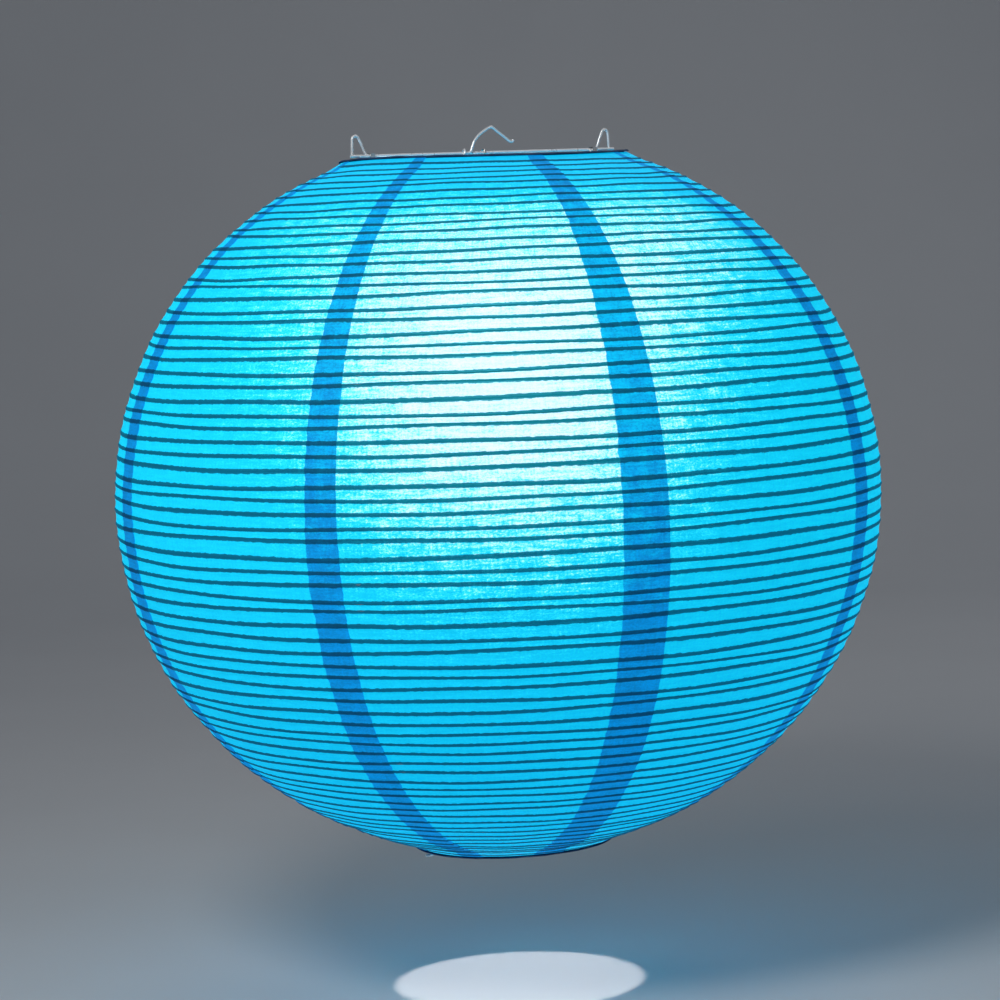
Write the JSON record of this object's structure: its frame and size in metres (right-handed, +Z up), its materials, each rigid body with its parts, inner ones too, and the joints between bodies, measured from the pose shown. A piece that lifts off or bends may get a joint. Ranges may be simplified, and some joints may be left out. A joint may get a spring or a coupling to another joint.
{
  "type": "paper lantern",
  "caption": "Round hanging paper lantern: paper gores over a spiral wire rib, two end rings, a wire expander with a top hook, and a battery light inside; it folds flat.",
  "frame": {"origin": "the hang point: the underside of the top of the wire hook, where a ceiling hook or cord bears; the lantern's own vertical axis stands 8 mm to the left of it in the expander's plane", "axes": "+Z up, along the lantern's axis; the front is -Y; the expander's plane stands 30 degrees round from +X towards +Y"},
  "size_m": [0.6103, 0.6102, 0.5771],
  "materials": {
    "lantern_paper": "thin translucent fibre paper, dyed turquoise, lit from inside",
    "hem_paper": "folded dark paper strip",
    "ring_steel": "drawn wire",
    "rib_steel": "thin drawn wire",
    "expander_steel": "bright drawn wire",
    "crimp_steel": "pressed sleeve",
    "light_shell": "moulded",
    "light_metal": "nickel plated",
    "cell_wrap": "shrink wrap",
    "circuit_board": "solder mask",
    "switch_plastic": "moulded",
    "led_phosphor": "silicone",
    "globe_plastic": "opal, lit"
  },
  "bodies": {
    "hanger": {"left_arm": "expander_steel", "right_arm": "expander_steel", "left_clip": "expander_steel", "right_clip": "expander_steel", "left_ferrule": "crimp_steel", "right_ferrule": "crimp_steel", "top_ring": "ring_steel", "top_hem": "hem_paper", "gore_1": "lantern_paper", "gore_2": "lantern_paper", "gore_3": "lantern_paper", "gore_4": "lantern_paper", "gore_5": "lantern_paper", "gore_6": "lantern_paper", "gore_7": "lantern_paper", "gore_8": "lantern_paper", "spiral_rib": "rib_steel"},
    "bottom_hoop": {"bottom_ring": "ring_steel", "bottom_hem": "hem_paper"},
    "left_leg_wire": {"left_leg": "expander_steel"},
    "right_leg_wire": {"right_leg": "expander_steel"},
    "light_top": {"light_hook": "light_metal", "battery_cover": "light_shell"},
    "lamp": {"light_housing": "light_shell", "battery_cell_1": "cell_wrap", "battery_cell_2": "cell_wrap", "battery_cell_3": "cell_wrap", "cell_spring_1": "light_metal", "cell_spring_2": "light_metal", "cell_spring_3": "light_metal", "contact_plate": "light_metal", "led_board": "circuit_board", "led_chip": "led_phosphor", "board_screw_1": "light_metal", "board_screw_2": "light_metal", "globe_diffuser": "globe_plastic"},
    "switch": {"switch_slider": "switch_plastic"}
  },
  "joints": [
    {"name": "lantern_fold", "type": "slide", "parent": "hanger", "child": "bottom_hoop", "axis": [0, 0, 1], "range_m": [0, 0.5], "deforming": ["gore_1", "gore_2", "gore_3", "gore_4", "gore_5", "gore_6", "gore_7", "gore_8", "spiral_rib"]},
    {"name": "left_leg_release", "type": "hinge", "parent": "hanger", "child": "left_leg_wire", "pos_m": [-0.06712, -0.03875, -0.046], "axis": [0.5, -0.866, 0], "range_deg": [0, 6], "stiffness_Nm_per_rad": 0.05, "springref_deg": -2.86},
    {"name": "right_leg_release", "type": "hinge", "parent": "hanger", "child": "right_leg_wire", "pos_m": [0.05326, 0.03075, -0.046], "axis": [-0.5, 0.866, 0], "range_deg": [0, 6], "stiffness_Nm_per_rad": 0.05, "springref_deg": -2.86},
    {"name": "light_swing", "type": "hinge", "parent": "hanger", "child": "light_top", "pos_m": [-0.00693, -0.004, -0.01896], "axis": [0.866, 0.5, 0], "range_deg": [-20, 20]},
    {"name": "cover_twist", "type": "hinge", "parent": "light_top", "child": "lamp", "pos_m": [-0.00693, -0.004, -0.08], "axis": [0, 0, 1], "range_deg": [0, 30]},
    {"name": "switch_slide", "type": "slide", "parent": "lamp", "child": "switch", "axis": [0, 0, 1], "range_m": [-0.004, 0]}
  ]
}
